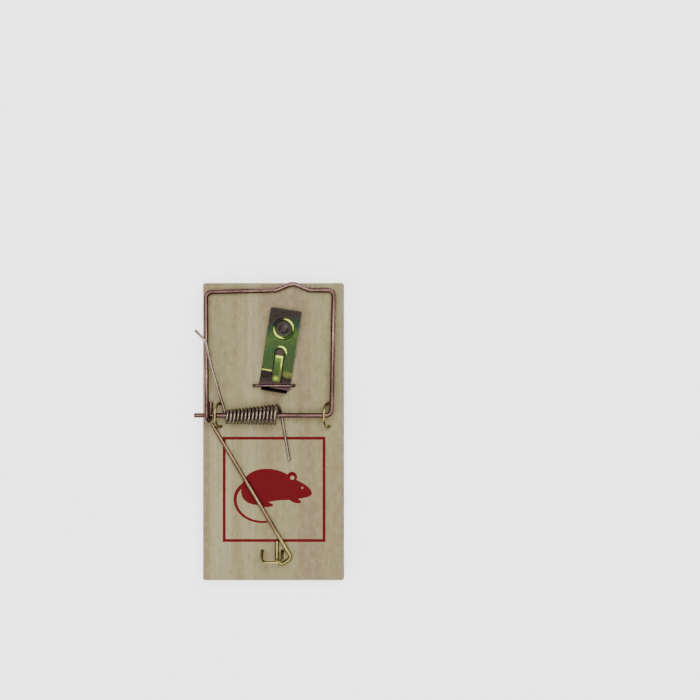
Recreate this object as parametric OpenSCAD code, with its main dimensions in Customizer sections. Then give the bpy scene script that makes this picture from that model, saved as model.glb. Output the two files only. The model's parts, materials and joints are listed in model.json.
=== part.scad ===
// Snap mouse trap: a wooden board that carries a sprung striking bow, a rocking bait pedal
// and a locking rod, all held down by bent wire staples.
// Origin at the centre of the board's underside, +Y towards the bait end, +Z up, millimetres.

/* [Board] */
// Length of the board, along Y
board_length = 98; // [92:0.5:160]
// Width of the board, along X
board_width = 46.5; // [42:0.5:90]
// Thickness of the board
board_thickness = 6; // [5.5:0.5:12]
// Radius of the board's four upright corners
board_corner_r = 0.8; // [0.2:0.1:3]

/* [Striking bow] */
// Diameter of the bow's wire, which is also the axle
bow_wire_d = 1.6; // [1.3:0.05:2]
// From the bait end of the board to the striking bar
bar_edge_margin = 2.4; // [1.5:0.1:6]
// From the left side of the board to the bow's left corner
bow_left_inset = 1.05; // [0.9:0.05:3]
// From the right side of the board to the bow's right corner
bow_right_inset = 3.35; // [2:0.05:6]
// How far the left arm leans inwards on its way to the axle
left_arm_lean = 0.4; // [0:0.1:1.5]
// How far the right arm leans inwards on its way to the axle
right_arm_lean = 0.7; // [0:0.1:1.5]
// How much nearer to the axle the striking bar's left corner is
bar_skew = 0.6; // [0:0.1:1.5]
// Centre of the raised peak in the striking bar, along X
peak_x = 6.4; // [4:0.1:8]
// Half the width of the raised peak at its foot
peak_half = 5.4; // [4:0.1:8]
// Height of the raised peak above the striking bar
peak_rise = 2.35; // [0:0.05:3]
// Length of axle that sticks out past the eye at its left end
axle_stub = 3.3; // [2:0.1:5]
// Radius of the bow's corners, along the middle of the wire
bow_corner_r = 2; // [1.8:0.1:3]

/* [Torsion spring] */
// Diameter of the spring's wire
spring_wire_d = 0.95; // [0.7:0.05:1.1]
// Number of turns in the coil
coil_turns = 14; // [8:1:15]
// Distance from one turn to the next
coil_pitch = 1.21; // [1.1:0.01:1.3]
// Outer diameter of the coil at its wide right end
coil_large_d = 7.15; // [6:0.05:8]
// From the left axle staple to the coil
coil_staple_gap = 2.55; // [2:0.05:4]
// From the axle to the point where the long leg presses on the bow's left arm
long_leg_reach = 24.4; // [20:0.1:28]
// From the axle to the tip of the short leg
short_leg_reach = 15; // [10:0.1:20]

/* [Bait pedal] */
// Width of the pedal
pedal_width = 10.2; // [8:0.1:11]
// Thickness of the pedal's sheet metal
pedal_thickness = 0.5; // [0.4:0.05:0.7]
// Angle that the pedal is turned to, clockwise from the board's length
pedal_yaw = 8.9; // [0:0.1:9]
// From the axle to the staple that the pedal rocks under
pedal_axle_gap = 9.7; // [9.4:0.1:14]
// From the pedal's free end to the striking bar
pedal_bar_gap = 6.4; // [5:0.1:12]
// Slope of the pedal between its bend and its free end
pedal_slope = 4; // [2:0.5:8]
// Diameter of the ring pressed into the pedal, along its crest
ring_d = 6.3; // [5:0.1:7]
// From the pedal's free end to the centre of the ring
ring_inset = 6.4; // [5.5:0.1:8]
// Width of the bait tongue
tongue_width = 2.5; // [1.5:0.1:3]
// Gap round the bait tongue in its slot
tongue_gap = 0.4; // [0.3:0.05:0.8]

/* [Locking rod] */
// Diameter of the rod's wire
rod_wire_d = 1.3; // [1:0.05:1.6]
// Width of the rod's eye, along the bar that lies on the board
eye_width = 5.7; // [5.4:0.1:7]
// Length of the tail that closes the eye, measured along the rod
eye_length = 7.4; // [6.5:0.1:9]

/* [Staples] */
// Diameter of the staples' wire
staple_wire_d = 0.95; // [0.7:0.05:1.1]
// Length of each staple leg in the board
leg_depth = 4.5; // [2:0.1:5]
// Distance between the legs of an axle staple, centre to centre
axle_staple_span = 7.6; // [7.4:0.1:9]
// How far the axle staples' arches lean to the left of their legs
axle_staple_lean = 1.7; // [0.5:0.1:1.8]
// Distance between the legs of the pedal's staple, centre to centre
pedal_staple_span = 13.2; // [13:0.1:16]
// Distance between the legs of the rod's staple, centre to centre
rod_staple_span = 6.65; // [5.5:0.05:9]
// From the rod end of the board to the rod staple's legs
rod_staple_inset = 9.7; // [9:0.1:9.9]
// Height of the rod staple's crown above the board, at the middle of the wire
rod_staple_height = 4.3; // [4.2:0.1:6]
// How far the rod staple's crown leans towards the end of the board
rod_staple_lean = 3.3; // [2:0.1:3.5]

/* [Hidden] */
$fn = 48;

// Clearances
axle_play = 0.1;            // between the axle and the staples and eye round it
board_gap = 0.1;            // under the eye of the bow and under the coil
rest_gap = 0.05;            // under the striking bar's peak, the rod and the pedal's bend
hole_play = 0.03;           // round each staple leg in its hole
side_gap = 0.3;             // beside each axle staple, along the axle
coil_play = 0.7;            // between the axle and the narrow end of the coil
leg_gap = 0.12;             // between the long leg and the bow's arm
pedal_play = 0.2;           // between the pedal and its staple's crown
rocking_room = 0.5;         // under the pedal at its staple, so that it can rock
lip_gap = 1.025;            // between the foot of the catch lip and the staple's crown
tip_gap = 0.4;              // between the rod's tip and the eye of the bow
eye_gap = 0.08;             // between the rod's tail and its shank

// Levels and places that the pieces share
top = board_thickness;
eye_r = bow_wire_d + axle_play;
eye_outer_r = eye_r + bow_wire_d / 2;
axle_z = top + eye_outer_r + board_gap;
latch_end = 11;             // room for the rod's staple beyond the folded bow
bow_reach = (board_length - bar_edge_margin - peak_rise - latch_end) / 2;
bar_y = board_length / 2 - bar_edge_margin;
axle_y = bar_y - bow_reach;
bow_tilt = asin((axle_z - top - bow_wire_d / 2 - rest_gap) / (bow_reach + peak_rise));

// Striking bow, across the board
bow_left_x = -board_width / 2 + bow_left_inset;
bow_right_x = board_width / 2 - bow_right_inset;
left_arm_x = bow_left_x + left_arm_lean;
right_arm_x = bow_right_x - right_arm_lean;
peak_r = 4;                 // rounding of the striking bar's peak
eye_turn = 186;             // how far the arm's end hooks round the axle
eye_steps = 5;
eye_shift = 1.2;            // how far the hook moves sideways, clear of the arm
eye_tail = 4.4;             // straight end of the hook, under the arm
eye_bend_r = 0.9 * eye_r;

// Staples
staple_bend_r = 1;
axle_arch_r = 3.3;          // the axle staples are nearly half round
rod_arch_r = 1.9;           // the rod's staple has round shoulders
left_staple_x = left_arm_x + eye_shift + (bow_wire_d + staple_wire_d) / 2 + side_gap;
right_staple_x = right_arm_x - bow_corner_r - staple_wire_d / 2 - side_gap / 2;
axle_crown_z = axle_z + bow_wire_d / 2 + axle_play + staple_wire_d / 2;
pedal_crown_z = top + staple_wire_d / 2 + pedal_play + pedal_thickness + rocking_room;
pedal_x = 0.5;              // where the pedal crosses its staple
pedal_y = axle_y + pedal_axle_gap;
pedal_staple_x = pedal_x - 0.35;
rod_staple_y = -board_length / 2 + rod_staple_inset;
rod_leg_x = 2.95;           // the leg of the rod's staple that stands in the eye
rod_far_leg_x = rod_leg_x - rod_staple_span;

// Torsion spring
coil_small_r = (bow_wire_d + spring_wire_d) / 2 + coil_play;
coil_large_r = (coil_large_d - spring_wire_d) / 2;
coil_left_x = left_staple_x + (staple_wire_d + spring_wire_d) / 2 + coil_staple_gap;
coil_right_x = coil_left_x + coil_turns * coil_pitch;
coil_small_y = axle_y - 0.5;    // the coil hangs askew on the axle
coil_large_y = axle_y + 0.3;
coil_small_z = max(axle_z, top + board_gap + spring_wire_d / 2 + coil_small_r);
coil_large_z = max(axle_z, top + board_gap + spring_wire_d / 2 + coil_large_r);
coil_lead = 1.2;            // how far the first half turn is spread out sideways
shoulder_back = 7.9;        // from the long leg's shoulder to where it crosses the arm
shoulder_side = 1.75;
hook_length = 3.5;          // the long leg's bent tip, along X and along Y
short_leg_side = 3.9;       // how far the short leg's tip is to the right of the coil
rings_per_turn = 12;
wire_sides = 8;

// Bait pedal, in its own frame: origin on the crown, Y towards the free end
pedal_length = (bar_y - pedal_bar_gap - pedal_y) / cos(pedal_yaw);
pedal_bend = 4.95;          // from the crown to the bend
pedal_root = staple_wire_d / 2 + lip_gap;
lip_margin = 0.8;           // how much narrower the lip is, on each side
lip_length = 1.9;
lip_angle = 75;
crown_under = -(staple_wire_d / 2 + pedal_play + pedal_thickness);
bend_under = top + rest_gap - pedal_crown_z;
ring_y = pedal_length - ring_inset;
bead_r = 0.35;              // radius of the pressed ring's rounded crest
bead_sink = 0.1;            // how deep the middle of that crest lies in the plate
boss_r = 1.7;               // pressed boss inside the ring
boss_rise = 0.45;
slot_ring_gap = 3.3;        // between the ring's crest and the end of the slot
tongue_tip_gap = 2.4;       // between the tongue's tip and the end of the slot
slot_start = 1.3;           // from the crown to the root of the tongue
slot_end = ring_y - ring_d / 2 - slot_ring_gap;
slot_width = tongue_width + 2 * tongue_gap;
tongue_end = slot_end - tongue_tip_gap;
tongue_angle = 8;

// Locking rod, in plan: its bar lies across the shank, its tail runs back to the shank
rod_z = top + rod_wire_d / 2 + rest_gap;
rod_corner_side = 3.15;     // from the staple leg in the eye to the rod's corner, along X
rod_corner_drop = 2.3;      // and along Y
rod_corner = [rod_leg_x + rod_corner_side, rod_staple_y - rod_corner_drop];
rod_tip = [
    left_staple_x - (staple_wire_d + rod_wire_d) / 2 - axle_play,
    axle_y - eye_outer_r - tip_gap
];
rod_along = (rod_tip - rod_corner) / norm(rod_tip - rod_corner);
rod_across = [-rod_along.y, rod_along.x];
rod_bend_r = 1.5;

// Each bend of a wire is this much thicker, and the straight runs reach this far into it
bend_swell = 0.02;
bend_seat = 0.1;

function unit(v) = v / norm(v);
function place(p) = [p.x, p.y, p.z];
function mix(a, b, share) = a + (b - a) * share;
function heading(points, i) = unit(place(points[i + 1]) - place(points[i]));

// How much of the two runs at a corner its round bend takes up
function trim(points, i) =
    i == 0 || i == len(points) - 1
        ? bend_seat
        : points[i][3] * tan(acos(heading(points, i - 1) * heading(points, i)) / 2);

// A wire bent at points, each [x, y, z, radius of the bend there]
module bent_wire(points, d) {
    for (i = [0:len(points) - 2]) {
        along = heading(points, i);
        from = trim(points, i) - bend_seat;
        to = norm(place(points[i + 1]) - place(points[i])) - trim(points, i + 1) + bend_seat;
        translate(place(points[i]) + from * along)
            rotate([0, acos(along.z), atan2(along.y, along.x)])
                cylinder(d = d, h = to - from);
    }
    for (i = [1:len(points) - 2])
        wire_bend(place(points[i]), heading(points, i - 1), heading(points, i), points[i][3], d);
}

// One round bend of radius r at a corner, from the direction before to the direction after
module wire_bend(corner, before, after, r, d) {
    turn = acos(before * after);
    inward = unit(after - before * (before * after));
    normal = cross(before, inward);
    centre = corner - r * tan(turn / 2) * before + r * inward;
    multmatrix([
        [-inward.x, before.x, normal.x, centre.x],
        [-inward.y, before.y, normal.y, centre.y],
        [-inward.z, before.z, normal.z, centre.z],
        [0, 0, 0, 1]
    ])
        rotate_extrude(angle = turn)
            translate([r, 0])
                circle(d = d + bend_swell);
}

// A staple: legs down into the board at a and b, crown shifted sideways by lean, bent to r
module staple(a, b, crown_z, lean = [0, 0], r = staple_bend_r) {
    foot_z = top + 0.3;     // a leaning staple bends just above the board
    crown = [
        [a.x + lean.x, a.y + lean.y, crown_z, r],
        [b.x + lean.x, b.y + lean.y, crown_z, r]
    ];
    legs = lean == [0, 0]
        ? crown
        : concat(
            [[a.x, a.y, foot_z, staple_bend_r]],
            crown,
            [[b.x, b.y, foot_z, staple_bend_r]]
        );
    ends = [[a.x, a.y, top - leg_depth], [b.x, b.y, top - leg_depth]];
    bent_wire(concat([ends[0]], legs, [ends[1]]), staple_wire_d);
}

// Where every staple leg enters the board
axle_leg_xs = [left_staple_x + axle_staple_lean, right_staple_x + axle_staple_lean];
axle_leg_ys = [axle_y - axle_staple_span / 2, axle_y + axle_staple_span / 2];
pedal_leg_xs = [pedal_staple_x - pedal_staple_span / 2, pedal_staple_x + pedal_staple_span / 2];
leg_holes = concat(
    [for (x = axle_leg_xs, y = axle_leg_ys) [x, y]],
    [for (x = pedal_leg_xs) [x, pedal_y]],
    [for (x = [rod_far_leg_x, rod_leg_x]) [x, rod_staple_y]]
);

module board_outline() {
    inner = [board_width - 2 * board_corner_r, board_length - 2 * board_corner_r];
    square([board_width, inner.y], center = true);
    square([inner.x, board_length], center = true);
    for (x = [-inner.x / 2, inner.x / 2], y = [-inner.y / 2, inner.y / 2])
        translate([x, y])
            circle(r = board_corner_r);
}

module base_board() {
    color("burlywood")
        difference() {
            linear_extrude(board_thickness)
                board_outline();
            for (hole = leg_holes)
                translate([hole.x, hole.y, top - leg_depth - hole_play])
                    cylinder(d = staple_wire_d + 2 * hole_play, h = leg_depth + 1);
        }
}

// The bow in its own frame: the axle along X, the arms along Y
eye_step = eye_turn / eye_steps;
eye_points = [
    for (i = [0:eye_steps - 1])
        let (angle = 90 + (i + 0.5) * eye_step, r = eye_r / cos(eye_step / 2))
            [left_arm_x + eye_shift * (i + 0.5) / eye_steps, r * cos(angle), r * sin(angle), eye_bend_r]
];
eye_end = 90 + eye_turn;
eye_tip = [
    left_arm_x + eye_shift,
    eye_r * cos(eye_end) - eye_tail * sin(eye_end),
    eye_r * sin(eye_end) + eye_tail * cos(eye_end)
];
bow_points = concat(
    [
        [left_arm_x - eye_r / 2 - axle_stub, 0, 0],
        [right_arm_x, 0, 0, bow_corner_r],
        [bow_right_x, bow_reach, 0, bow_corner_r],
        [peak_x + peak_half, bow_reach, 0, peak_r],
        [peak_x, bow_reach + peak_rise, 0, peak_r],
        [peak_x - peak_half, bow_reach, 0, peak_r],
        [bow_left_x, bow_reach - bar_skew, 0, bow_corner_r]
    ],
    eye_points,
    [eye_tip]
);

module hammer_bow() {
    color([0.66, 0.5, 0.44])
        translate([0, axle_y, axle_z])
            rotate([-bow_tilt, 0, 0])
                bent_wire(bow_points, bow_wire_d);
}

// The middle of the bow's left arm, reach from the axle
function left_arm_at(reach) =
    let (share = reach / (bow_reach - bar_skew))
        [
            mix(left_arm_x, bow_left_x, share),
            axle_y + reach,
            axle_z + eye_r * (1 - share) - reach * sin(bow_tilt)
        ];

// A point of the coil, t turns from its right end, starting at the bottom
function coil_at(t) =
    let (
        share = t / coil_turns,
        r = mix(coil_large_r, coil_small_r, share),
        spread = t < 0.5 ? coil_lead * (1 - 2 * t) * (1 - 2 * t) : 0
    )
        [
            coil_right_x - coil_pitch * t + spread,
            mix(coil_large_y, coil_small_y, share) + r * sin(360 * t),
            mix(coil_large_z, coil_small_z, share) - r * cos(360 * t)
        ];

leg_rise = (bow_wire_d + spring_wire_d) / 2 + leg_gap;
leg_crossing = left_arm_at(long_leg_reach) + [0, 0, leg_rise];
leg_shoulder = left_arm_at(long_leg_reach - shoulder_back) + [shoulder_side, 0, leg_rise - 0.2];
leg_tip = leg_crossing + [-hook_length, hook_length, -0.4];
short_tip = [
    coil_right_x + short_leg_side,
    axle_y - short_leg_reach,
    top + rest_gap + spring_wire_d / 2
];
spring_path = concat(
    [short_tip, mix(short_tip, coil_at(0), 0.9)],
    [for (i = [0:coil_turns * rings_per_turn]) coil_at(i / rings_per_turn)],
    [leg_shoulder, leg_crossing, leg_tip]
);

// A tube of wire along path, one ring of points at each of them
module swept_wire(path, d) {
    last = len(path) - 1;
    ring_points = [
        for (i = [0:last])
            let (
                along = unit(path[min(i + 1, last)] - path[max(i - 1, 0)]),
                side = unit([1, 0, 0] - along.x * along),
                up = cross(along, side)
            )
                for (j = [0:wire_sides - 1])
                    let (angle = 360 * j / wire_sides)
                        path[i] + d / 2 * (cos(angle) * side + sin(angle) * up)
    ];
    walls = [
        for (i = [0:last - 1], j = [0:wire_sides - 1])
            let (a = i * wire_sides, k = (j + 1) % wire_sides)
                [a + j, a + k, a + wire_sides + k, a + wire_sides + j]
    ];
    caps = [
        [for (j = [wire_sides - 1:-1:0]) j],
        [for (j = [0:wire_sides - 1]) last * wire_sides + j]
    ];
    faces = [for (face = concat(walls, caps)) [for (k = [len(face) - 1:-1:0]) face[k]]];
    polyhedron(points = ring_points, faces = faces);
}

module torsion_spring() {
    color("silver")
        swept_wire(spring_path, spring_wire_d);
}

// A nearly half round staple over the axle, with its legs at leg_x
module axle_staple(leg_x) {
    color([0.72, 0.7, 0.5])
        staple(
            [leg_x, axle_leg_ys[0]],
            [leg_x, axle_leg_ys[1]],
            axle_crown_z,
            [-axle_staple_lean, 0],
            axle_arch_r
        );
}

module left_axle_staple() {
    axle_staple(axle_leg_xs[0]);
}

module right_axle_staple() {
    axle_staple(axle_leg_xs[1]);
}

module pedal_staple() {
    color([0.72, 0.7, 0.5])
        staple([pedal_leg_xs[0], pedal_y], [pedal_leg_xs[1], pedal_y], pedal_crown_z);
}

module rod_staple() {
    color([0.72, 0.7, 0.5])
        staple(
            [rod_far_leg_x, rod_staple_y],
            [rod_leg_x, rod_staple_y],
            top + rod_staple_height,
            [0, -rod_staple_lean],
            rod_arch_r
        );
}

// A strip of sheet metal: outline is [Y, Z] in the pedal's frame, w wide along X
module strip(outline, w) {
    translate([-w / 2, 0, 0])
        rotate([90, 0, 90])
            linear_extrude(w)
                polygon(outline);
}

// Height of the pedal's underside between its lip and its bend
function under_at(y) = mix(crown_under, bend_under, y / pedal_bend);

module pedal_plate() {
    end_under = bend_under + (pedal_length - pedal_bend) * tan(pedal_slope);
    strip([
        [-pedal_root, under_at(-pedal_root)],
        [pedal_bend, bend_under],
        [pedal_length, end_under],
        [pedal_length, end_under + pedal_thickness],
        [pedal_bend, bend_under + pedal_thickness],
        [-pedal_root, under_at(-pedal_root) + pedal_thickness]
    ], pedal_width);
}

module pedal_slot() {
    translate([-slot_width / 2, slot_start, crown_under - 1])
        cube([slot_width, slot_end - slot_width / 2 - slot_start, 4]);
    translate([0, slot_end - slot_width / 2, crown_under - 1])
        cylinder(d = slot_width, h = 4);
}

// The lip stands up behind the crown and hooks the tip of the rod when the trap is set
module catch_lip() {
    foot = [-pedal_root, under_at(-pedal_root)];
    rise = [-cos(lip_angle), sin(lip_angle)];
    inner = pedal_thickness * [sin(lip_angle), cos(lip_angle)];
    strip([
        foot,
        foot + lip_length * rise,
        foot + lip_length * rise + inner,
        foot + inner,
        foot + [0.7, 0.1]
    ], pedal_width - 2 * lip_margin);
}

module bait_tongue() {
    inset = 0.03;
    foot_y = slot_start - 0.4;
    reach = tongue_end - slot_start;
    low = under_at(slot_start) + inset;
    high = low + pedal_thickness - 2 * inset;
    strip([
        [foot_y, under_at(foot_y) + inset],
        [slot_start, low],
        [tongue_end, low + reach * tan(tongue_angle)],
        [tongue_end, high + reach * tan(tongue_angle)],
        [slot_start, high],
        [foot_y, under_at(foot_y) + pedal_thickness - inset]
    ], tongue_width);
}

// The ring and boss stand on the sloping part of the plate
module pressed_ring() {
    sphere_r = (boss_r * boss_r + boss_rise * boss_rise) / (2 * boss_rise);
    translate([0, pedal_bend, bend_under + pedal_thickness])
        rotate([pedal_slope, 0, 0])
            translate([0, ring_y - pedal_bend, 0]) {
                rotate_extrude()
                    translate([ring_d / 2, -bead_sink])
                        circle(r = bead_r);
                intersection() {
                    translate([0, 0, boss_rise - sphere_r])
                        sphere(r = sphere_r);
                    translate([0, 0, -pedal_thickness / 2])
                        cylinder(r = boss_r + 0.2, h = 1);
                }
            }
}

module bait_pedal() {
    color([0.42, 0.5, 0.3])
        translate([pedal_x, pedal_y, pedal_crown_z])
            rotate([0, 0, -pedal_yaw]) {
                difference() {
                    pedal_plate();
                    pedal_slot();
                }
                catch_lip();
                bait_tongue();
                pressed_ring();
            }
}

// A point of the rod in plan, s along the shank and e across it from its corner
function rod_at(s, e, r = 0) =
    let (p = rod_corner + s * rod_along + e * rod_across)
        [p.x, p.y, rod_z, r];

module locking_rod() {
    color([0.72, 0.6, 0.4])
        bent_wire([
            rod_at(norm(rod_tip - rod_corner), 0),
            rod_at(0, 0, rod_bend_r),
            rod_at(0, eye_width, rod_bend_r),
            rod_at(eye_length, rod_wire_d + eye_gap)
        ], rod_wire_d);
}

base_board();
hammer_bow();
torsion_spring();
left_axle_staple();
right_axle_staple();
bait_pedal();
pedal_staple();
locking_rod();
rod_staple();
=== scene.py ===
"""Looks of the snap mouse trap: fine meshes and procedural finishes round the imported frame.

Shapes are worked out in millimetres and turned into metres where a mesh is made.
"""
import json
import math

import bmesh
import bpy
from mathutils import Matrix, Quaternion, Vector
from mathutils.geometry import delaunay_2d_cdt
from mathutils.noise import noise as perlin


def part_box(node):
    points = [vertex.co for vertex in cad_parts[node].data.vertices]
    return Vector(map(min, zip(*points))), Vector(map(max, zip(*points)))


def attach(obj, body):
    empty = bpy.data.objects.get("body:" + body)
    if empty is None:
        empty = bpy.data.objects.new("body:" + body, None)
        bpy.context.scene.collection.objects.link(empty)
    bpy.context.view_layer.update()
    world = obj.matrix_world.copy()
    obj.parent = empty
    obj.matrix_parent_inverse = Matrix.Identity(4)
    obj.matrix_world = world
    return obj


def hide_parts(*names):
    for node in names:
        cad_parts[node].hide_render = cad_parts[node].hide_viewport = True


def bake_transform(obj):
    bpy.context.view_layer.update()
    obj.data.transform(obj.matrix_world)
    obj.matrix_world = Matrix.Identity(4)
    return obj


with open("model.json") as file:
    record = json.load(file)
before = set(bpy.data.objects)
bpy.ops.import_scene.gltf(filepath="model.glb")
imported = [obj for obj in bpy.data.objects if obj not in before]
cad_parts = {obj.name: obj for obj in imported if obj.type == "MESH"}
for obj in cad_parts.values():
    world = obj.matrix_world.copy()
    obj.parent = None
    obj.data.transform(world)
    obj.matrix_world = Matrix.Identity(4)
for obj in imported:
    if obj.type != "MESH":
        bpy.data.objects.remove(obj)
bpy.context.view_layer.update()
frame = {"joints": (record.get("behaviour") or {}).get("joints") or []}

MM = 0.001
joints = {j["name"]: j for j in frame["joints"]}


def in_mm(point):
    return Vector(point) / MM


# ---------------------------------------------------------------- places, from the frame
board_low, board_high = (in_mm(corner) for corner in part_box("base_board"))
TOP = board_high.z
axle = in_mm(joints["hammer_swing"]["pos_m"])
crown = in_mm(joints["pedal_tilt"]["pos_m"])
rod_corner = in_mm(joints["rod_lift"]["pos_m"])
rod_axis = Vector(joints["rod_lift"]["axis"]).normalized()


# ---------------------------------------------------------------- sizes, in millimetres
BOW_D = 1.6
SPRING_D = 0.95
STAPLE_D = 0.95
ROD_D = 1.3
REST_GAP = 0.05
BOARD_GAP = 0.1
LEG_DEPTH = 4.5

# Striking bow; its eye is the hook round the axle at its left corner
BOW_LEFT_INSET = 1.05
BOW_RIGHT_INSET = 3.35
LEFT_ARM_LEAN = 0.4
RIGHT_ARM_LEAN = 0.7
BAR_EDGE_MARGIN = 2.4
BAR_SKEW = 0.6
PEAK_X = 6.4
PEAK_HALF = 5.4
PEAK_RISE = 2.35
PEAK_R = 4
AXLE_STUB = 3.3
BOW_CORNER_R = 2
EYE_R = BOW_D + 0.1
EYE_TURN = 186
EYE_STEPS = 5
EYE_BEND_R = 0.9 * EYE_R
EYE_SHIFT = 1.2
EYE_TAIL = 4.4

bow_left_x = board_low.x + BOW_LEFT_INSET
bow_right_x = board_high.x - BOW_RIGHT_INSET
left_arm_x = bow_left_x + LEFT_ARM_LEAN
right_arm_x = bow_right_x - RIGHT_ARM_LEAN
bow_reach = board_high.y - BAR_EDGE_MARGIN - axle.y
bow_tilt = math.asin((axle.z - TOP - BOW_D / 2 - REST_GAP) / (bow_reach + PEAK_RISE))

# Torsion spring; the long leg bends at its shoulder and crosses the bow's left arm
COIL_TURNS = 14
COIL_PITCH = 1.21
COIL_LARGE_R = 3.1
COIL_SMALL_R = 1.975
COIL_STAPLE_GAP = 2.55
COIL_LEAD = 1.2    # how far the first half turn is spread out sideways
COIL_LARGE_Y = 0.3
COIL_SMALL_Y = -0.5
RINGS_PER_TURN = 36
LONG_LEG_REACH = 24.4
LONG_LEG_TIP = Vector((-3.5, 3.5, -0.4))
SHOULDER_BACK = 7.9
SHOULDER_OFFSET = Vector((1.75, 0, -0.2))
SHORT_LEG_REACH = 15
SHORT_LEG_SIDE = 3.9
SHORT_LEG_BEND = 0.93    # where the short leg bends, as a share of its length from the tip
LEG_BEND_R = 6
LEG_CROSSING_R = 1.6
LEG_GAP = 0.12

# Bait pedal: a lip, a foot under the staple, a crease where it meets the board, and a free end
PEDAL_W = 10.2
PEDAL_T = 0.5
PEDAL_YAW = math.radians(8.9)
PEDAL_BEND = 4.95
PEDAL_SLOPE = math.radians(4)
PEDAL_BAR_GAP = 6.4
PEDAL_PLAY = 0.2
LIP_GAP = 1.025
LIP_MARGIN = 0.8
LIP_LENGTH = 1.9
LIP_ANGLE = math.radians(75)
FOOT_R = 0.6
CREASE_R = 1.6
FOOT_STEP = 0.55    # from the foot to where the lip's narrower sheet ends
RING_D = 6.3
RING_HALF = 0.5
RING_RISE = 0.33
RING_INSET = 6.4
BOSS_R = 1.7
BOSS_RISE = 0.42
TONGUE_W = 2.5
TONGUE_GAP = 0.4
TONGUE_ANGLE = math.radians(8)
TONGUE_TIP_GAP = 2.4
FOLD_RISE = 0.1
FOLD_HALF = 0.8
CURL_DROP = 0.22
CURL_LENGTH = 1.1
SLOT_START = 1.3
SLOT_RING_GAP = 3.3
RIM_RISE = 0.16
RIM_HALF = 0.42
RIM_FADE = 0.6
EDGE_ROLL = 0.07
SHEET_ROLL_W = 0.32
TONGUE_ROLL_W = 0.4

# Locking rod
EYE_W = 5.7
EYE_LENGTH = 7.4
ROD_BEND_R = 1.5
EYE_GAP = 0.08

# Staples: which way each crown leans from its legs, and how its crown is rounded
FOOT_BEND_Z = 0.3
FOOT_BEND_R = 1
STAPLES = {
    "left_axle_staple": (Vector((-1.7, 0, 0)), 3.3),
    "right_axle_staple": (Vector((-1.7, 0, 0)), 3.3),
    "pedal_staple": (Vector((0, 0, 0)), 1),
    "rod_staple": (Vector((0, -3.3, 0)), 1.9),
}


# ---------------------------------------------------------------- meshes
WORN_RIM = 0.14
WORN_STEPS = 3


def new_object(name, points, faces, smooth=True):
    """A mesh object from points in millimetres."""
    mesh = bpy.data.meshes.new(name)
    mesh.from_pydata([Vector(p) * MM for p in points], [], faces)
    mesh.validate()
    mesh.polygons.foreach_set("use_smooth", [smooth] * len(mesh.polygons))
    obj = bpy.data.objects.new(name, mesh)
    bpy.context.scene.collection.objects.link(obj)
    return obj


def bent_path(points, step=math.radians(6)):
    """The middle line of a wire through (point, bend radius) pairs, with round bends."""
    path = [points[0][0]]
    for (before, _), (corner, r), (after, _) in zip(points, points[1:], points[2:]):
        a, b = (before - corner).normalized(), (after - corner).normalized()
        turn = math.pi - a.angle(b)
        if r == 0 or turn < 1e-4:
            path.append(corner)
            continue
        reach = r * math.tan(turn / 2)
        centre = corner + (a + b).normalized() * (r / math.cos(turn / 2))
        arm = corner + a * reach - centre
        axis = arm.cross(corner + b * reach - centre)
        steps = max(2, math.ceil(turn / step))
        path += [centre + Quaternion(axis, turn * k / steps) @ arm for k in range(steps + 1)]
    path.append(points[-1][0])
    return path


def swept_rings(path):
    """(point, along, side, distance) at each point of a path, with sides that don't twist."""
    rings, distance, side = [], 0.0, None
    for i, point in enumerate(path):
        ahead, behind = path[min(i + 1, len(path) - 1)], path[max(i - 1, 0)]
        along = (ahead - behind).normalized()
        if side is None:
            side = along.orthogonal().normalized()
        side = (side - along * side.dot(along)).normalized()
        if i:
            distance += (point - path[i - 1]).length
        rings.append((point, along, side, distance))
    return rings


def tube_faces(count, rings):
    """The faces between rings of count points each."""
    faces = []
    for a in range(0, (rings - 1) * count, count):
        for j in range(count):
            k = (j + 1) % count
            faces.append((a + j, a + k, a + count + k, a + count + j))
    return faces


def keep_run(obj, run):
    """Keep each point's place along and across its piece, given in millimetres, for the finishes."""
    attribute = obj.data.attributes.new("run", "FLOAT_VECTOR", "POINT")
    attribute.data.foreach_set("vector", [value * MM for row in run for value in row])


def worn_end(ring, inward, d):
    """The rings that round off a cut end, from its flat face inward; the last has the full radius."""
    point, along, side, distance = ring
    rings = []
    for k in range(WORN_STEPS + 1):
        angle = math.pi / 2 * k / WORN_STEPS
        shift = WORN_RIM * (1 - math.cos(angle)) * inward
        radius = d / 2 - WORN_RIM * (1 - math.sin(angle))
        rings.append((point + along * shift, along, side, distance + shift, radius))
    return rings


def wire(name, path, d, sides):
    """A round wire along path, with both cut ends slightly rounded at their rims."""
    body = swept_rings(path)
    length = body[-1][3]
    middle = [ring + (d / 2,) for ring in body if WORN_RIM < ring[3] < length - WORN_RIM]
    rings = worn_end(body[0], 1, d) + middle + worn_end(body[-1], -1, d)[::-1]

    points, run = [], []
    for point, along, side, distance, radius in rings:
        up = along.cross(side)
        for j in range(sides):
            angle = math.tau * j / sides
            arm = (side * math.cos(angle) + up * math.sin(angle)) * radius
            points.append(point + arm)
            run.append((distance, math.cos(angle) * radius, math.sin(angle) * radius))
    faces = tube_faces(sides, len(rings))
    caps = [list(range(sides))[::-1], list(range(len(points) - sides, len(points)))]
    obj = new_object(name, points, faces + caps)
    keep_run(obj, run)
    for index in (len(faces), len(faces) + 1):
        obj.data.polygons[index].material_index = 1
        obj.data.polygons[index].use_smooth = False
    return obj


def circle(x, y, r, count=24):
    turns = [math.tau * k / count for k in range(count)]
    return [Vector((x + r * math.cos(turn), y + r * math.sin(turn))) for turn in turns]


def inside(point, outline):
    """Whether a point is inside a closed outline."""
    found = False
    for a, b in zip(outline, outline[1:] + outline[:1]):
        if (a.y > point.y) != (b.y > point.y):
            if point.x < a.x + (point.y - a.y) * (b.x - a.x) / (b.y - a.y):
                found = not found
    return found


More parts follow.
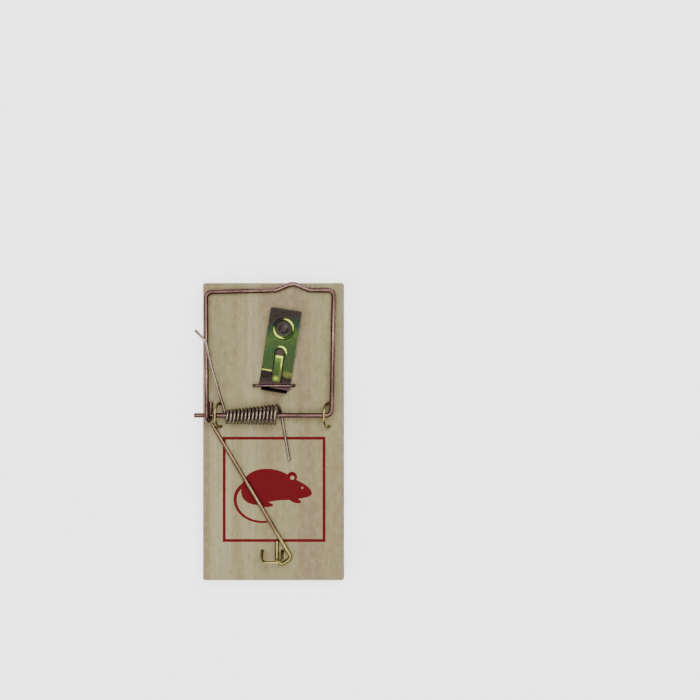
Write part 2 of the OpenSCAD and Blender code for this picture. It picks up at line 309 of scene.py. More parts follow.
def triangulated(loops, loose=()):
    """Flat points and faces that fill closed loops and use loose points: (points, faces, middles)."""
    flat, edges = [], []
    for loop in loops:
        start, count = len(flat), len(loop)
        flat += [Vector((p.x, p.y)) for p in loop]
        edges += [(start + k, start + (k + 1) % count) for k in range(count)]
    flat += loose
    points, _, faces, _, _, _ = delaunay_2d_cdt(flat, edges, [], 0, 1e-5)
    middles = [sum((points[v] for v in face), Vector((0, 0))) / len(face) for face in faces]
    return points, faces, middles


# ---------------------------------------------------------------- wires
def bow_path():
    """The bow in its own frame: the axle along X, the arms along Y, tilted onto the board."""
    eye_step = math.radians(EYE_TURN / EYE_STEPS)
    points = [
        (Vector((left_arm_x - EYE_R / 2 - AXLE_STUB, 0, 0)), 0),
        (Vector((right_arm_x, 0, 0)), BOW_CORNER_R),
        (Vector((bow_right_x, bow_reach, 0)), BOW_CORNER_R),
        (Vector((PEAK_X + PEAK_HALF, bow_reach, 0)), PEAK_R),
        (Vector((PEAK_X, bow_reach + PEAK_RISE, 0)), PEAK_R),
        (Vector((PEAK_X - PEAK_HALF, bow_reach, 0)), PEAK_R),
        (Vector((bow_left_x, bow_reach - BAR_SKEW, 0)), BOW_CORNER_R),
    ]
    for i in range(EYE_STEPS):
        angle = math.pi / 2 + (i + 0.5) * eye_step
        r = EYE_R / math.cos(eye_step / 2)
        x = left_arm_x + EYE_SHIFT * (i + 0.5) / EYE_STEPS
        points.append((Vector((x, r * math.cos(angle), r * math.sin(angle))), EYE_BEND_R))
    end = math.radians(90 + EYE_TURN)
    y = EYE_R * math.cos(end) - EYE_TAIL * math.sin(end)
    z = EYE_R * math.sin(end) + EYE_TAIL * math.cos(end)
    points.append((Vector((left_arm_x + EYE_SHIFT, y, z)), 0))
    turn = Matrix.Rotation(-bow_tilt, 3, "X")
    at = Vector((0, axle.y, axle.z))
    return [at + turn @ point for point in bent_path(points)]


left_staple_x = in_mm(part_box("left_axle_staple")[0]).x + STAPLE_D / 2
coil_left_x = left_staple_x + (STAPLE_D + SPRING_D) / 2 + COIL_STAPLE_GAP
coil_right_x = coil_left_x + COIL_TURNS * COIL_PITCH


def coil_at(t):
    """A point of the coil, t turns from its right end, starting at the bottom."""
    share = t / COIL_TURNS
    r = COIL_LARGE_R + (COIL_SMALL_R - COIL_LARGE_R) * share
    lowest = TOP + BOARD_GAP + SPRING_D / 2
    y = axle.y + COIL_LARGE_Y + (COIL_SMALL_Y - COIL_LARGE_Y) * share
    z_large = max(axle.z, lowest + COIL_LARGE_R)
    z_small = max(axle.z, lowest + COIL_SMALL_R)
    z = z_large + (z_small - z_large) * share
    spread = COIL_LEAD * (1 - 2 * t) ** 2 if t < 0.5 else 0
    angle = math.tau * t
    return Vector((coil_right_x - COIL_PITCH * t + spread, y + r * math.sin(angle), z - r * math.cos(angle)))


def left_arm_at(reach):
    """The middle of the bow's left arm, reach from the axle."""
    share = reach / (bow_reach - BAR_SKEW)
    x = left_arm_x + (bow_left_x - left_arm_x) * share
    return Vector((x, axle.y + reach, axle.z + EYE_R * (1 - share) - reach * math.sin(bow_tilt)))


def spring_path():
    """The spring: its short leg on the board, the coil, and the long leg over the bow's left arm."""
    rise = Vector((0, 0, (BOW_D + SPRING_D) / 2 + LEG_GAP))
    crossing = left_arm_at(LONG_LEG_REACH) + rise
    shoulder = left_arm_at(LONG_LEG_REACH - SHOULDER_BACK) + rise + SHOULDER_OFFSET
    resting_z = TOP + REST_GAP + SPRING_D / 2
    short_tip = Vector((coil_right_x + SHORT_LEG_SIDE, axle.y - SHORT_LEG_REACH, resting_z))
    coil = [coil_at(i / RINGS_PER_TURN) for i in range(COIL_TURNS * RINGS_PER_TURN + 1)]
    points = [(short_tip, 0), (short_tip.lerp(coil[0], SHORT_LEG_BEND), LEG_BEND_R)]
    points += [(point, 0) for point in coil]
    points += [(shoulder, LEG_BEND_R), (crossing, LEG_CROSSING_R), (crossing + LONG_LEG_TIP, 0)]
    return bent_path(points)


def staple_feet(node):
    """Where a staple's two legs enter the board: on the side that its crown leans away from."""
    low, high = (in_mm(corner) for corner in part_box(node))
    lean, r = STAPLES[node][0], STAPLE_D / 2
    if lean.x:
        return [Vector((high.x - r, y, TOP)) for y in (low.y + r, high.y - r)]
    y = high.y - r if lean.y else (low.y + high.y) / 2
    return [Vector((x, y, TOP)) for x in (low.x + r, high.x - r)]


def staple_path(node):
    """The wire of a staple: two legs down into the board, and a crown across."""
    lean, crown_r = STAPLES[node]
    crown_z = in_mm(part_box(node)[1]).z - STAPLE_D / 2
    legs = []
    for foot in staple_feet(node):
        leg = [(foot - Vector((0, 0, LEG_DEPTH)), 0)]
        if lean.length:
            leg.append((foot + Vector((0, 0, FOOT_BEND_Z)), FOOT_BEND_R))
        leg.append((foot + lean + Vector((0, 0, crown_z - TOP)), crown_r))
        legs.append(leg)
    return bent_path(legs[0] + legs[1][::-1])


def rod_path():
    """The locking rod: its shank, the bar of its eye and the tail that closes the eye."""
    along = Vector((-rod_axis.y, rod_axis.x, 0))
    across = Vector((-along.y, along.x, 0))
    high_y = in_mm(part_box("locking_rod")[1]).y
    length = (high_y - rod_corner.y) / along.y - ROD_D / 2 * abs(rod_axis.y) / along.y

    def at(up_shank, along_bar):
        return rod_corner + along * up_shank + across * along_bar

    tail = (at(EYE_LENGTH, ROD_D + EYE_GAP), 0)
    return bent_path([(at(length, 0), 0), (at(0, 0), ROD_BEND_R), (at(0, EYE_W), ROD_BEND_R), tail])


# ---------------------------------------------------------------- board
CORNER_R = 0.8
EDGE_R = 0.4
EDGE_STEPS = 4
EDGE_WEAR = 0.05
WEAR_SCALE = Vector((0.35, 0.35, 0.6))
HOLE_R = STAPLE_D / 2 + 0.05
CRATER_R = STAPLE_D / 2 + 0.22
CRATER_DEPTH = 0.1
HOLE_SIDES = 18
IN_CRATER = 0.97    # a triangle whose middle is within this share of the crater's radius fills it
PRINT_LINE = 0.95
PRINT_W = 32.9
PRINT_H = 33.7
PRINT_STEP = 1.5
PRINT_WANDER = 0.03
WANDER_SCALE = 0.7
OUTER_SEED = 3
INNER_SEED = 7
PRINT_X = 0.2
PRINT_FROM_END = 30
print_centre = Vector((PRINT_X, board_low.y + PRINT_FROM_END))


def rectangle(w, h, seed):
    """A rectangle's outline in short steps, whose sides wander a little, as printed lines do."""
    corners = [Vector((x * w / 2, y * h / 2)) for x, y in ((-1, -1), (1, -1), (1, 1), (-1, 1))]
    outline = []
    for a, b in zip(corners, corners[1:] + corners[:1]):
        count = max(1, round((b - a).length / PRINT_STEP))
        for k in range(count):
            p = print_centre + a.lerp(b, k / count)
            wander = perlin(Vector((p.x * WANDER_SCALE, p.y * WANDER_SCALE, seed)))
            outline.append(p + (b - a).orthogonal().normalized() * wander * PRINT_WANDER)
    return outline


def bezier(a, out, into, b, t):
    """The point at share t of a cubic stretch from a to b."""
    u = 1 - t
    return Vector(a) * u**3 + Vector(out) * 3 * t * u * u + Vector(into) * 3 * t * t * u + Vector(b) * t**3


def curve(points, count=8):
    """A closed outline through smooth stretches: (knot, handle out, handle in of the next)."""
    outline = []
    for (a, out, into), (b, _, _) in zip(points, points[1:] + points[:1]):
        outline += [bezier(a, out, into, b, k / count) for k in range(count)]
    return outline


def ribbon(a, out, into, b, half_start, half_end, count=28):
    """A tapering band along one smooth stretch."""
    sides = ([], [])
    for k in range(count + 1):
        t = k / count
        ahead, behind = (bezier(a, out, into, b, t + step) for step in (0.01, -0.01))
        across = (ahead - behind).orthogonal().normalized() * (half_start + (half_end - half_start) * t)
        for side, sign in zip(sides, (1, -1)):
            side.append(bezier(a, out, into, b, t) + across * sign)
    return sides[0] + sides[1][::-1]


def mouse_shapes():
    """A plain mouse in side view, facing +X: (printed outlines, bare outlines), in the print's frame."""
    body = curve([
        ((12.5, -1.2), (12.2, 0.4), (10.0, 1.9)),
        ((7.4, 3.1), (5.2, 4.3), (2.6, 6.8)),
        ((-2.6, 6.8), (-7.4, 6.8), (-10.9, 4.2)),
        ((-10.9, -0.6), (-10.9, -3.4), (-8.6, -5.2)),
        ((-5.6, -5.1), (-2.6, -4.9), (-1.4, -3.7)),
        ((2.2, -3.6), (5.4, -3.5), (6.6, -3.5)),
        ((8.8, -3.0), (10.6, -2.7), (12.4, -2.4)),
    ])
    ear = circle(5.9, 4.1, 1.7)
    hind_foot = curve([
        ((-6.4, -4.6), (-5.2, -6.1), (-0.4, -6.2)),
        ((-0.2, -5.2), (-0.8, -4.2), (-4.6, -3.4)),
    ])
    fore_foot = curve([
        ((4.6, -2.8), (5.6, -4.7), (8.8, -5.1)),
        ((9.0, -4.1), (8.4, -3.1), (6.4, -2.4)),
    ])
    tail = ribbon((-9.9, 1.6), (-15.8, -1.8), (-12.6, -11.6), (-2.2, -10.7), 0.62, 0.34)
    eye = circle(9.3, 0.5, 0.36, 14)
    ear_line = circle(6.0, 3.8, 0.7, 16)
    return [body, ear, hind_foot, fore_foot, tail], [eye, ear_line]


def board_rings():
    """(inset, z) of the board's rounded section, from its underside to its face."""
    angles = [math.pi / 2 * k / EDGE_STEPS for k in range(EDGE_STEPS + 1)]
    insets = [EDGE_R * (1 - math.cos(angle)) for angle in angles]
    rises = [EDGE_R * math.sin(angle) for angle in angles]
    under = [(inset, board_low.z + EDGE_R - rise) for inset, rise in zip(insets, rises)][::-1]
    return under + [(inset, TOP - EDGE_R + rise) for inset, rise in zip(insets, rises)]


def board_outline(corner_steps=6, step=2):
    """(point, outward) round the board, in short steps, with rounded corners."""
    corners = []
    for (x, y), start in (((1, -1), -90), ((1, 1), 0), ((-1, 1), 90), ((-1, -1), 180)):
        centre = Vector((x * (board_high.x - CORNER_R), y * (board_high.y - CORNER_R)))
        for k in range(corner_steps + 1):
            angle = math.radians(start + 90 * k / corner_steps)
            out = Vector((math.cos(angle), math.sin(angle)))
            corners.append((centre + out * CORNER_R, out))
    outline = []
    for (a, out_a), (b, out_b) in zip(corners, corners[1:] + corners[:1]):
        count = max(1, round((b - a).length / step))
        shares = [k / count for k in range(count)]
        outline += [(a.lerp(b, share), out_a.lerp(out_b, share).normalized()) for share in shares]
    return outline


def leg_places():
    """Where every staple's leg enters the board."""
    return [Vector((foot.x, foot.y)) for node in STAPLES for foot in staple_feet(node)]


def board_sides():
    """Points and faces of the underside and the worn sides; the last ring bounds the face."""
    outline, rings = board_outline(), board_rings()
    count = len(outline)
    points = []
    for inset, z in rings:
        for p, out in outline:
            wear = EDGE_WEAR * perlin(Vector((p.x, p.y, z)) * WEAR_SCALE) if inset > 0 else 0
            q = p - out * max(0.0, inset + wear)
            points.append(Vector((q.x, q.y, z)))
    faces = tube_faces(count, len(rings)) + [tuple(range(count))[::-1]]
    return points, faces, points[-count:]


def board_face(border, legs):
    """Points, faces and printed faces of the top, with the print's outlines and the legs' craters."""
    printed, bare = ([[print_centre + p for p in shape] for shape in shapes] for shapes in mouse_shapes())
    frame_outer = rectangle(PRINT_W + PRINT_LINE, PRINT_H + PRINT_LINE, OUTER_SEED)
    frame_inner = rectangle(PRINT_W - PRINT_LINE, PRINT_H - PRINT_LINE, INNER_SEED)
    craters = [circle(leg.x, leg.y, CRATER_R, HOLE_SIDES) for leg in legs]
    points, triangles, middles = triangulated([border, frame_outer, frame_inner, *printed, *bare, *craters])
    plain, inked = [], []
    for face, middle in zip(triangles, middles):
        if any((middle - leg).length < CRATER_R * IN_CRATER for leg in legs):
            continue
        in_frame = inside(middle, frame_outer) and not inside(middle, frame_inner)
        in_mouse = any(inside(middle, s) for s in printed) and not any(inside(middle, s) for s in bare)
        group = inked if in_frame or in_mouse else plain
        group.append(tuple(face))
    return [Vector((p.x, p.y, TOP)) for p in points], plain, inked


def leg_hole(leg):
    """Points and faces of a staple leg's hole and the crater round its mouth."""
    rings = [(CRATER_R, 0), (HOLE_R, CRATER_DEPTH), (HOLE_R, LEG_DEPTH + REST_GAP)]
    points = []
    for r, depth in rings:
        points += [Vector((p.x, p.y, TOP - depth)) for p in circle(leg.x, leg.y, r, HOLE_SIDES)]
    bottom = tuple(range(len(points) - HOLE_SIDES, len(points)))
    return points, tube_faces(HOLE_SIDES, len(rings)) + [bottom]


def build_board():
    """The board: its worn sides, its printed face and the eight holes, joined into one mesh."""
    legs = leg_places()
    points, faces, border = board_sides()
    face_points, plain, inked = board_face(border, legs)
    parts = [(face_points, plain, inked)] + [(*leg_hole(leg), []) for leg in legs]
    kinds = [0] * len(faces)
    for part_points, *groups in parts:
        start = len(points)
        points += part_points
        for kind, group in enumerate(groups):
            faces += [tuple(start + v for v in face) for face in group]
            kinds += [kind] * len(group)
    made = new_object("wooden_board", points, faces, smooth=False)
    for polygon, kind in zip(made.data.polygons, kinds):
        upright, level = abs(polygon.normal.z) <= 0.02, abs(polygon.normal.z) >= 0.98
        polygon.material_index = kind
        polygon.use_smooth = not (upright or level)
    joined = bmesh.new()
    joined.from_mesh(made.data)
    bmesh.ops.remove_doubles(joined, verts=joined.verts, dist=0.002 * MM)
    bmesh.ops.recalc_face_normals(joined, faces=joined.faces)
    joined.to_mesh(made.data)
    joined.free()
    return made


# ---------------------------------------------------------------- bait pedal
MESH_STEP = 0.16
CLOSE_LINES = (0.1, 0.21, 0.34)    # extra grid lines at these distances from an edge
LEAST_STEP = 0.07
EDGE_CLEARANCE = 0.08
LIES_FLAT = 0.9    # the sheet runs forwards, and isn't the lip, where its direction's Y is over this
CHAMFER = 0.35
TONGUE_CHAMFER = 0.3
EDGE_BEVEL = 0.05

# Lengths from the crown towards the free end, in plan
pedal_length = (board_high.y - BAR_EDGE_MARGIN - PEDAL_BAR_GAP - crown.y) / math.cos(PEDAL_YAW)
pedal_root = STAPLE_D / 2 + LIP_GAP
ring_y = pedal_length - RING_INSET
slot_w = TONGUE_W + 2 * TONGUE_GAP
slot_end = ring_y - RING_D / 2 - SLOT_RING_GAP
slot_centre = slot_end - slot_w / 2
tongue_end = slot_end - TONGUE_TIP_GAP
pedal_turn = Matrix.Rotation(-PEDAL_YAW, 3, "Z")


def pedal_profile():
    """The middle of the pedal's sheet in side view, as a rounded path from the lip to the free end."""
    crown_under = -(STAPLE_D / 2 + PEDAL_PLAY + PEDAL_T)
    bend_under = TOP + REST_GAP - crown.z
    foot_under = crown_under - (bend_under - crown_under) * pedal_root / PEDAL_BEND
    foot = Vector((0, -pedal_root, foot_under))
    bend = Vector((0, PEDAL_BEND, bend_under))
    run = pedal_length - PEDAL_BEND
    end = bend + Vector((0, run, run * math.tan(PEDAL_SLOPE)))
    lip = foot + LIP_LENGTH * Vector((0, -math.cos(LIP_ANGLE), math.sin(LIP_ANGLE)))
    line = [lip, foot, bend, end]
    ups = []
    for a, b in zip(line, line[1:]):
        along = (b - a).normalized()
        ups.append(Vector((0, -along.z, along.y)))
    middle = [lip + ups[0] * PEDAL_T / 2]
    for corner, before, after in zip(line[1:], ups, ups[1:]):
        middle.append(corner + (before + after) / (1 + before.dot(after)) * PEDAL_T / 2)
    middle.append(end + ups[-1] * PEDAL_T / 2)
    return bent_path(list(zip(middle, (0, FOOT_R, CREASE_R, 0))), math.radians(5))


def bead(x):
    """A smooth ridge: 1 in its middle, 0 from -1 down and from 1 up."""
    return 0.5 + 0.5 * math.cos(math.pi * x) if abs(x) < 1 else 0.0


def in_short_steps(corners):
    """A closed outline through corners, in steps of about MESH_STEP."""
    line = []
    for a, b in zip(corners, corners[1:] + corners[:1]):
        a, b = Vector(a), Vector(b)
        count = max(1, round((b - a).length / MESH_STEP))
        line += [a.lerp(b, k / count) for k in range(count)]
    return line


def grid_lines(low, high, edges):
    """Even lines from low to high, with more of them on both sides of each edge."""
    count = round((high - low) / MESH_STEP)
    values = [low + (high - low) * k / count for k in range(count + 1)]
    for edge in edges:
        values += [edge + sign * offset for offset in CLOSE_LINES for sign in (-1, 1)]
    values = sorted(v for v in values if low < v < high)
    kept = [values[0]]
    for value in values[1:]:
        if value - kept[-1] > LEAST_STEP:
            kept.append(value)
    return kept


class PedalSheet:
    """The pedal's bent sheet, where u runs across it and v along it from under the crown."""

    def __init__(self):
        self.rings = swept_rings(pedal_profile())
        self.crown_run = self.run_at(0)
        self.tip = -self.crown_run
        self.end = self.rings[-1][3] - self.crown_run
        self.foot = self.run_at(FOOT_STEP - pedal_root) - self.crown_run
        self.ring = self.run_at(PEDAL_BEND) - self.crown_run + (ring_y - PEDAL_BEND)

    def run_at(self, y):
        """How far along the sheet from the lip's tip y is."""
        flat = [ring for ring in self.rings if ring[1].y > LIES_FLAT]
        for a, b in zip(flat, flat[1:]):
            if a[0].y <= y <= b[0].y:
                return a[3] + (b[3] - a[3]) * (y - a[0].y) / (b[0].y - a[0].y)
        return flat[-1][3]

    def at(self, v):
        """The point and the upward normal of the flat sheet at v."""
        run = min(max(v + self.crown_run, 0), self.rings[-1][3])
        for a, b in zip(self.rings, self.rings[1:]):
            if run <= b[3]:
                share = (run - a[3]) / max(b[3] - a[3], 1e-9)
                along = a[1].lerp(b[1], share).normalized()
                return a[0].lerp(b[0], share), Vector((0, -along.z, along.y))
        last, along = self.rings[-1][:2]
        return last, Vector((0, -along.z, along.y))

    def to_outline(self, u, v):
        """How far inside the sheet's outline a place is."""
        half = PEDAL_W / 2 - (LIP_MARGIN if v < self.foot else 0)
        return min(half - abs(u), self.end - v, v - self.tip)

    def in_tongue(self, u, v):
        """Whether a place is on the tongue, edges included."""
        return abs(u) <= TONGUE_W / 2 + 1e-6 and SLOT_START <= v <= tongue_end + 1e-6

    def to_slot(self, u, v):
        """How far outside the slot a place is; less than 0 in the slot."""
        if v > slot_centre:
            return math.hypot(u, v - slot_centre) - slot_w / 2
        if v >= SLOT_START:
            return abs(u) - slot_w / 2
        beside = max(TONGUE_W / 2 - abs(u), abs(u) - slot_w / 2, 0)
        return math.hypot(beside, SLOT_START - v)

    def to_edge(self, u, v):
        """How far a place is from the nearest edge of the sheet or the tongue."""
        if self.in_tongue(u, v):
            return min(TONGUE_W / 2 - abs(u), tongue_end - v)
        return min(self.to_outline(u, v), self.to_slot(u, v))

    def rolled(self, u, v, width):
        """How far the nearest edge is rolled down, over a width from it."""
        return EDGE_ROLL * max(0.0, 1 - self.to_edge(u, v) / width) ** 2

    def tongue_lift(self, u, v):
        """The tongue springs up from its root, with a fold there and a curled, worn tip."""
        root, point = self.at(SLOT_START)[0], self.at(v)[0]
        along = v - SLOT_START
        raised = max(0.0, root.z + along * math.tan(TONGUE_ANGLE) - point.z)
        fold = FOLD_RISE * bead((along - FOLD_HALF) / FOLD_HALF)
        curl = CURL_DROP * max(0.0, 1 - (tongue_end - v) / CURL_LENGTH) ** 2
        return raised + fold - curl - self.rolled(u, v, TONGUE_ROLL_W)

    def lift(self, u, v):
        """How far the pressed features raise the sheet."""
        r = math.hypot(u, v - self.ring)
        raised = RING_RISE * bead((r - RING_D / 2) / RING_HALF)
        if r < BOSS_R:
            raised += BOSS_RISE * (1 - (r / BOSS_R) ** 2) ** 1.3
        if self.in_tongue(u, v):
            return raised + self.tongue_lift(u, v)
        if v > slot_centre - RIM_FADE:
            rim = RIM_RISE * bead((self.to_slot(u, v) - RIM_HALF) / RIM_HALF)
            raised += rim * min(1.0, (v - slot_centre + RIM_FADE) / RIM_FADE)
        return raised - self.rolled(u, v, SHEET_ROLL_W)

    def outline(self):
        """The sheet's edge, with its narrower lip and small chamfers."""
        w, lip_w, c = PEDAL_W / 2, PEDAL_W / 2 - LIP_MARGIN, CHAMFER
        right = [
            (lip_w - c, self.tip), (lip_w, self.tip + c), (lip_w, self.foot),
            (w - c / 2, self.foot), (w, self.foot + c / 2),
            (w, self.end - c), (w - c * 0.3, self.end - c * 0.3), (w - c, self.end),
        ]
        left = [(-u, v) for u, v in right[::-1]]
        return in_short_steps(left[-2:] + right + left[:-2])

    def slot_outline(self):
        """The U-shaped opening with a round end that leaves the tongue standing."""
        half, tongue_half, c = slot_w / 2, TONGUE_W / 2, TONGUE_CHAMFER
        turns = [math.pi * k / 16 for k in range(17)]
        end_arc = [(half * math.cos(turn), slot_centre + half * math.sin(turn)) for turn in turns]
        return in_short_steps([
            (tongue_half, SLOT_START), (half, SLOT_START), *end_arc, (-half, SLOT_START),
            (-tongue_half, SLOT_START), (-tongue_half, tongue_end - c), (-tongue_half + c, tongue_end),
            (tongue_half - c, tongue_end), (tongue_half, tongue_end - c),
        ])

    def grid(self):
        """Points all over the sheet, clear of its edges."""
        half, tongue_half = PEDAL_W / 2, TONGUE_W / 2
        us = grid_lines(-half, half, [-half, -slot_w / 2, -tongue_half, tongue_half, slot_w / 2, half])
        vs = grid_lines(self.tip, self.end, [self.tip, SLOT_START, tongue_end, self.end])
        points = []
        for u in us:
            for v in vs:
                on_sheet = self.to_outline(u, v) > 0 and (self.to_slot(u, v) > 0 or self.in_tongue(u, v))
                if on_sheet and self.to_edge(u, v) > EDGE_CLEARANCE:
                    points.append(Vector((u, v)))
        return points


def build_pedal():
    """The pedal: its flat shape in u and v, bent, pressed and given its thickness."""
    sheet = PedalSheet()
    outline, slot = sheet.outline(), sheet.slot_outline()
    flat, triangles, middles = triangulated([outline, slot], sheet.grid())
    faces = [face for face, p in zip(triangles, middles) if inside(p, outline) and not inside(p, slot)]
    used = sorted({v for face in faces for v in face})
    index = {v: k for k, v in enumerate(used)}
    points, run = [], []
    for u, v in (flat[k] for k in used):
        point, up = sheet.at(v)
        points.append(crown + pedal_turn @ (Vector((u, point.y, point.z)) + up * sheet.lift(u, v)))
        run.append((u, v, 0))
    made = new_object("pedal_sheet", points, [tuple(index[v] for v in face) for face in faces])
    keep_run(made, run)
    thick = made.modifiers.new("sheet thickness", "SOLIDIFY")
    thick.thickness = PEDAL_T * MM
    thick.offset = 0
    thick.use_even_offset = False
    edge_wear_and_glint = made.modifiers.new("sheared edges", "BEVEL")
    edge_wear_and_glint.width = EDGE_BEVEL * MM
    edge_wear_and_glint.segments = 2
    edge_wear_and_glint.limit_method = "ANGLE"
    edge_wear_and_glint.angle_limit = math.radians(50)
    return made


def pedal_slot_place():
    """The point of the board's face under the open end of the pedal's slot."""
    return Vector((crown.x, crown.y, TOP)) + pedal_turn @ Vector((0, slot_end - TONGUE_W / 2, 0))


# ---------------------------------------------------------------- materials
class Finish:
    """Builds one procedural material with short calls."""

    def __init__(self, name):
        self.material = bpy.data.materials.new(name)
        self.material.use_nodes = True
        self.tree = self.material.node_tree
        self.shader = self.tree.nodes["Principled BSDF"]

    def fill(self, socket, value):
        """Link a socket to another, or set its value; a colour may leave its alpha out."""
        if isinstance(value, bpy.types.NodeSocket):
            self.tree.links.new(value, socket)
        elif socket.type == "RGBA":
            socket.default_value = (*value[:3], 1)
        else:
            socket.default_value = value

    def node(self, kind, inputs, **settings):
        made = self.tree.nodes.new(kind)
        for key, value in settings.items():
            setattr(made, key, value)
        for key, value in inputs.items():
            self.fill(made.inputs[key], value)
        return made

    def set(self, **values):
        """Fill the shader's own sockets, with _ for the spaces in their names."""
        for key, value in values.items():
            self.fill(self.shader.inputs[key.replace("_", " ")], value)

    def wire_run(self):
        """The place along and across the piece that its mesh keeps."""
        return self.node("ShaderNodeAttribute", {}, attribute_name="run").outputs["Vector"]

    def own_place(self):
        return self.node("ShaderNodeTexCoord", {}).outputs["Object"]

    def split(self, vector):
        return self.node("ShaderNodeSeparateXYZ", {"Vector": vector}).outputs

    def noise(self, vector, per_mm, detail, rough, shift=(0, 0, 0), distort=0.0):
        """Noise with per_mm as its counts per millimetre along each axis."""
        scale = [count / MM for count in per_mm]
        place = self.node("ShaderNodeMapping", {"Vector": vector, "Scale": scale, "Location": shift})
        inputs = {"Vector": place.outputs["Vector"], "Scale": 1.0, "Detail": detail}
        inputs.update({"Roughness": rough, "Distortion": distort})
        return self.node("ShaderNodeTexNoise", inputs).outputs["Fac"]

    def ramp(self, factor, stops, smooth=False):
        made = self.node("ShaderNodeValToRGB", {"Fac": factor})
        bar = made.color_ramp
        bar.interpolation = "EASE" if smooth else "LINEAR"
        while len(bar.elements) < len(stops):
            bar.elements.new(0.5)
        for element, (place, colour) in zip(bar.elements, stops):
            element.position = place
            element.color = (*colour, 1)
        return made.outputs["Color"]

    def grey(self, factor, low, high, a=0.0, b=1.0):
        """factor from low to high, spread over a to b."""
        inputs = {"Value": factor, "From Min": low, "From Max": high, "To Min": a, "To Max": b}
        return self.node("ShaderNodeMapRange", inputs).outputs["Result"]

    def span(self, length, low, high, a=0.0, b=1.0):
        """A length from low to high in millimetres, spread over a to b."""
        return self.grey(length, low * MM, high * MM, a, b)

    def near(self, length, middle, full, none):
        """1 within full of middle, falling to 0 at none from it, all in millimetres."""
        return self.span(self.absolute(self.sum(length, -middle * MM)), full, none, 1.0, 0.0)

    def mix(self, factor, a, b):
        """Colour a where factor is 0 and colour b where it is 1; sockets 6, 7 and 2 are the colour ones."""
        made = self.node("ShaderNodeMix", {}, data_type="RGBA")
        for key, value in ((0, factor), (6, a), (7, b)):
            self.fill(made.inputs[key], value)
        return made.outputs[2]

    def maths(self, operation, *values):
        """A Math node's result, or a longer chain of them where there are more values."""
        made = values[0]
        for value in values[1:] or (0.0,):
            made = self.node("ShaderNodeMath", {0: made, 1: value}, operation=operation).outputs[0]
        return made

    def sum(self, *values):
        return self.maths("ADD", *values)

    def product(self, *values):
        return self.maths("MULTIPLY", *values)

    def absolute(self, value):
        return self.maths("ABSOLUTE", value)

    def dot(self, vector, other):
        made = self.node("ShaderNodeVectorMath", {0: vector, 1: other}, operation="DOT_PRODUCT")
        return made.outputs["Value"]

    def offset(self, vector, centre):
        """The way from a centre in millimetres, and its length."""
        away = self.node("ShaderNodeVectorMath", {0: vector, 1: centre * MM}, operation="SUBTRACT")
        length = self.node("ShaderNodeVectorMath", {0: away.outputs[0]}, operation="LENGTH")
        return away.outputs[0], length.outputs["Value"]

    def bump(self, height, strength, depth):
        inputs = {"Height": height, "Strength": strength, "Distance": depth * MM}
        return self.node("ShaderNodeBump", inputs)


POPLAR = [
    (0.36, (0.185, 0.127, 0.072)), (0.44, (0.195, 0.16, 0.072)),
    (0.53, (0.223, 0.198, 0.09)), (0.63, (0.30, 0.27, 0.145)),
]
BROWN_STREAK = (0.205, 0.15, 0.072)
PALE_MOTTLE = (0.31, 0.275, 0.15)
DARK_FIBRE = (0.14, 0.105, 0.05)
DARK_PORE = (0.10, 0.07, 0.035)
# painted shadow colour for the bare board under the pedal's slot
PAINTED_SLOT_SHADOW = (0.03, 0.017, 0.015)
RED_INK = (0.09, 0.0, 0.003)


def wood(name, ink=None):
    """Poplar with its grain along Y; with ink, the same wood under a thin print. Without ink, it has a
    painted shadow under the pedal's slot.
    """
    f = Finish(name)
    place = f.own_place()
    bands = f.noise(place, (0.13, 0.007, 0.13), 3, 0.55, (4.3, 0.6, 0), 0.4)
    streaks = f.noise(place, (0.8, 0.02, 0.8), 4, 0.62)
    fibres = f.noise(place, (6.5, 0.22, 6.5), 3, 0.6)
    pores = f.noise(place, (4.2, 0.55, 4.2), 1, 0.5, (3, 8, 1))
    mottle = f.noise(place, (0.5, 0.3, 0.5), 4, 0.65)
    colour = f.ramp(bands, POPLAR, smooth=True)
    colour = f.mix(f.grey(streaks, 0.38, 0.66, 0.0, 0.6), colour, BROWN_STREAK)
    colour = f.mix(f.grey(mottle, 0.4, 0.68, 0.0, 0.5), colour, PALE_MOTTLE)
    colour = f.mix(f.grey(fibres, 0.3, 0.7, 0.45, 0.0), colour, DARK_FIBRE)
    colour = f.mix(f.grey(pores, 0.6, 0.74, 0.0, 0.5), colour, DARK_PORE)
    if ink:
        colour = f.mix(f.grey(fibres, 0.3, 0.55, 0.975, 1.0), colour, ink)
    else:
        # painted shadow: the bare board darkens round the place under the pedal's slot, as if the raised
        # pedal shaded it
        _, from_slot = f.offset(place, pedal_slot_place())
        colour = f.mix(f.span(from_slot, 2.0, 3.2, 0.9, 0.0), colour, PAINTED_SLOT_SHADOW)
    normal = f.bump(f.grey(pores, 0.6, 0.72), 0.4, 0.06)
    f.fill(normal.inputs["Normal"], f.bump(fibres, 0.35, 0.05).outputs["Normal"])
    f.set(Base_Color=colour, Roughness=f.grey(fibres, 0.3, 0.7, 0.72, 0.58),
          Normal=normal.outputs["Normal"], Specular_IOR_Level=0.08 if ink else 0.25)
    return f.material


def plated(name, light, dark, tint, end=None):
    """Drawn and plated wire: die lines along it, a colour that drifts, a little tarnish.

    end is (colour, from, to): the wire turns that colour between those distances along it.
    """
    f = Finish(name)
    run = f.wire_run()
    drift = f.noise(run, (0.12, 0.5, 0.5), 3, 0.6)
    spots = f.noise(run, (1.6, 2.4, 2.4), 3, 0.6)
    lines = f.noise(run, (0.25, 9, 9), 2, 0.6)
    colour = f.ramp(drift, [(0.3, dark), (0.5, light), (0.7, tint)])
    if end:
        colour = f.mix(f.span(f.split(run)["X"], end[1], end[2]), colour, end[0])
    tarnish = tuple(c * 0.45 for c in dark)
    colour = f.mix(f.grey(spots, 0.52, 0.75, 0.0, 0.55), colour, tarnish)
    f.set(Base_Color=colour, Metallic=1.0, Roughness=f.grey(spots, 0.3, 0.75, 0.14, 0.36),
          Normal=f.bump(lines, 0.25, 0.02).outputs["Normal"])
    return f.material


